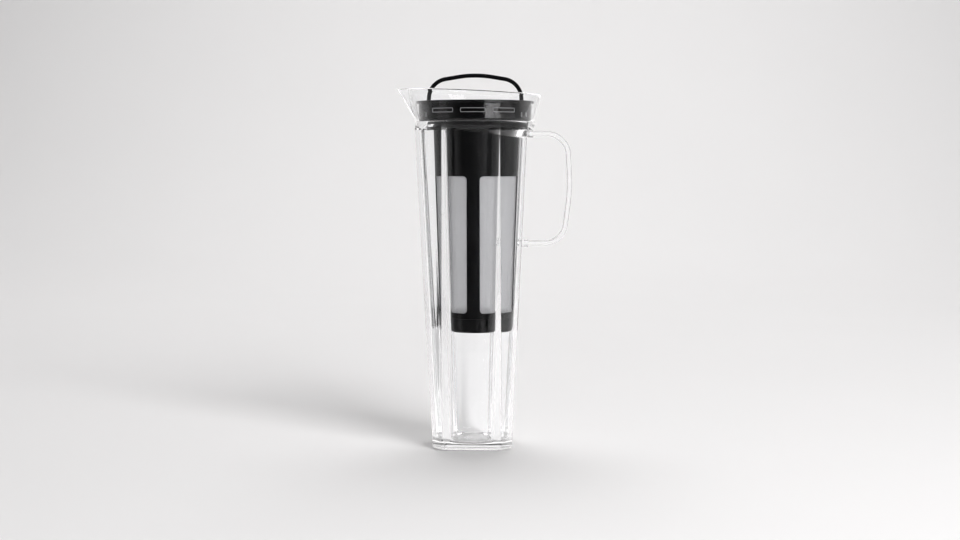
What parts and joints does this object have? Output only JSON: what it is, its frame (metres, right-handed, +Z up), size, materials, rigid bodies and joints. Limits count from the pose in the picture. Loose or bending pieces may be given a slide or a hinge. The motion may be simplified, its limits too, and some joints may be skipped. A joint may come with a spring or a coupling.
{
  "type": "cold brew coffee pitcher",
  "caption": "Tall clear square-sided pitcher with a V spout and C handle, and a black slotted lid with a folding bail that carries a tapered mesh coffee filter.",
  "frame": {"origin": "middle of the flat base the pitcher stands on", "axes": "+Z up along the pitcher, +X from the middle towards the C handle, -X towards the spout, -Y towards the front"},
  "size_m": [0.1491, 0.114, 0.3173],
  "materials": {
    "clear_plastic": "clear polished moulding",
    "lid_plastic": "glossy black moulding",
    "bail_plastic": "satin black moulding",
    "filter_plastic": "satin black moulding",
    "mesh": "fine woven nylon mesh",
    "silicone": "matt silicone"
  },
  "bodies": {
    "pitcher": {"pitcher_body": "clear_plastic", "pitcher_handle": "clear_plastic"},
    "lid": {"lid_cover": "lid_plastic", "lid_drum": "lid_plastic", "lid_plug": "lid_plastic", "seat_gasket": "silicone", "plug_gasket": "silicone", "collar_seal": "silicone"},
    "bail": {"lid_bail": "bail_plastic"},
    "filter": {"filter_frame": "filter_plastic", "filter_mesh_back_right": "mesh", "filter_mesh_back_left": "mesh", "filter_mesh_front_left": "mesh", "filter_mesh_front_right": "mesh"},
    "base_cap": {"filter_base_cap": "filter_plastic"}
  },
  "joints": [
    {"name": "lid_lift", "type": "slide", "parent": "pitcher", "child": "lid", "axis": [0, 0, 1], "range_m": [0, 0.212]},
    {"name": "bail_fold", "type": "hinge", "parent": "lid", "child": "bail", "pos_m": [0.0015, 0, 0.291], "axis": [1, 0, 0], "range_deg": [-90, 90]},
    {"name": "filter_twist", "type": "hinge", "parent": "lid", "child": "filter", "pos_m": [0.0015, 0, 0.275], "axis": [0, 0, 1], "range_deg": [0, 45]},
    {"name": "base_cap_twist", "type": "hinge", "parent": "filter", "child": "base_cap", "pos_m": [0.0015, 0, 0.107], "axis": [0, 0, 1], "range_deg": [0, 30]}
  ]
}
